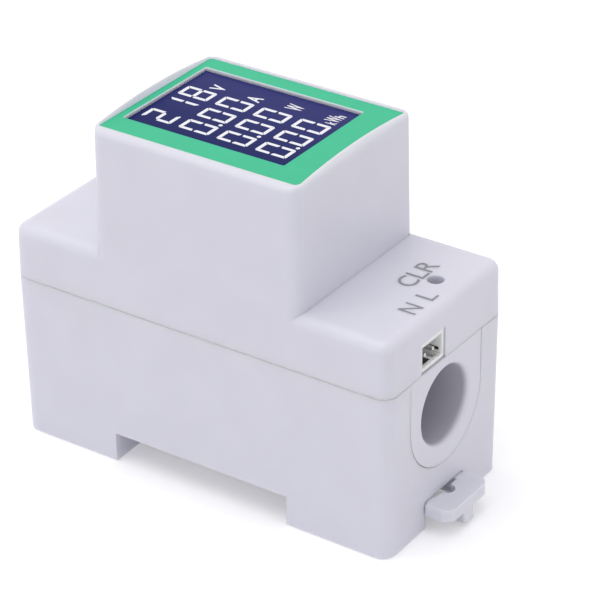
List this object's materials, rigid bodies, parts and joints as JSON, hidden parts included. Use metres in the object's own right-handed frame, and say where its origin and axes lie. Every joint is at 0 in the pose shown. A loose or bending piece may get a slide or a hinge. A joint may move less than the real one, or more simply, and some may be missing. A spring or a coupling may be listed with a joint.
{
  "type": "din rail energy meter",
  "caption": "Two-module energy meter for a 35 mm rail: stepped white case, recessed green front with a display, cable hole right through, sliding rail clip, socket and reset hole.",
  "frame": {"origin": "centre of the seat on the rail", "axes": "+Z out of the front, away from the rail; +X along the cable hole to the end with the socket and the rail clip; Y across the two modules"},
  "size_m": [0.0822, 0.036, 0.0654],
  "materials": {
    "shell_plastic": "satin moulded",
    "clip_plastic": "satin moulded",
    "label_film": "smooth printed film",
    "display_glass": "polished, with a lit display behind",
    "light_guide": "polished",
    "circuit_board": "solder mask",
    "tinned_metal": "tinned",
    "screw_steel": "plated",
    "socket_nylon": "natural nylon",
    "black_plastic": "moulded",
    "plunger_plastic": "moulded",
    "cup_plastic": "moulded",
    "core_strip": "wound strip",
    "resin": "cast",
    "lead_insulation": "smooth",
    "capacitor_sleeve": "shrink sleeve",
    "film_box": "moulded",
    "varistor_coat": "dipped",
    "resistor_coat": "cement"
  },
  "bodies": {
    "meter": {"lower_case": "shell_plastic", "upper_case": "shell_plastic", "ct_sleeve": "shell_plastic", "rear_plate": "shell_plastic", "front_label": "label_film", "lcd_glass": "display_glass", "lcd_backlight": "light_guide", "lcd_pins": "tinned_metal", "display_board": "circuit_board", "display_driver": "black_plastic", "display_screws": "screw_steel", "main_board": "circuit_board", "main_screws": "screw_steel", "display_link": "tinned_metal", "terminal_board": "circuit_board", "terminal_screws": "screw_steel", "terminal_link": "tinned_metal", "socket_shell": "socket_nylon", "socket_pins": "tinned_metal", "reset_switch": "black_plastic", "ct_cup": "cup_plastic", "ct_core": "core_strip", "ct_potting": "resin", "ct_leads": "lead_insulation", "storage_capacitor": "capacitor_sleeve", "film_capacitor": "film_box", "varistor": "varistor_coat", "fusible_resistor": "resistor_coat", "metering_chip": "black_plastic", "crystal": "tinned_metal", "regulator": "black_plastic"},
    "clip": {"rail_clip": "clip_plastic"},
    "plunger": {"reset_plunger": "plunger_plastic"}
  },
  "joints": [
    {"name": "clip_slide", "type": "slide", "parent": "meter", "child": "clip", "axis": [1, 0, 0], "range_m": [0, 0.003], "stiffness_N_per_m": 1500},
    {"name": "reset_press", "type": "slide", "parent": "meter", "child": "plunger", "axis": [0, 0, -1], "range_m": [0, 0.00025], "stiffness_N_per_m": 4000}
  ]
}
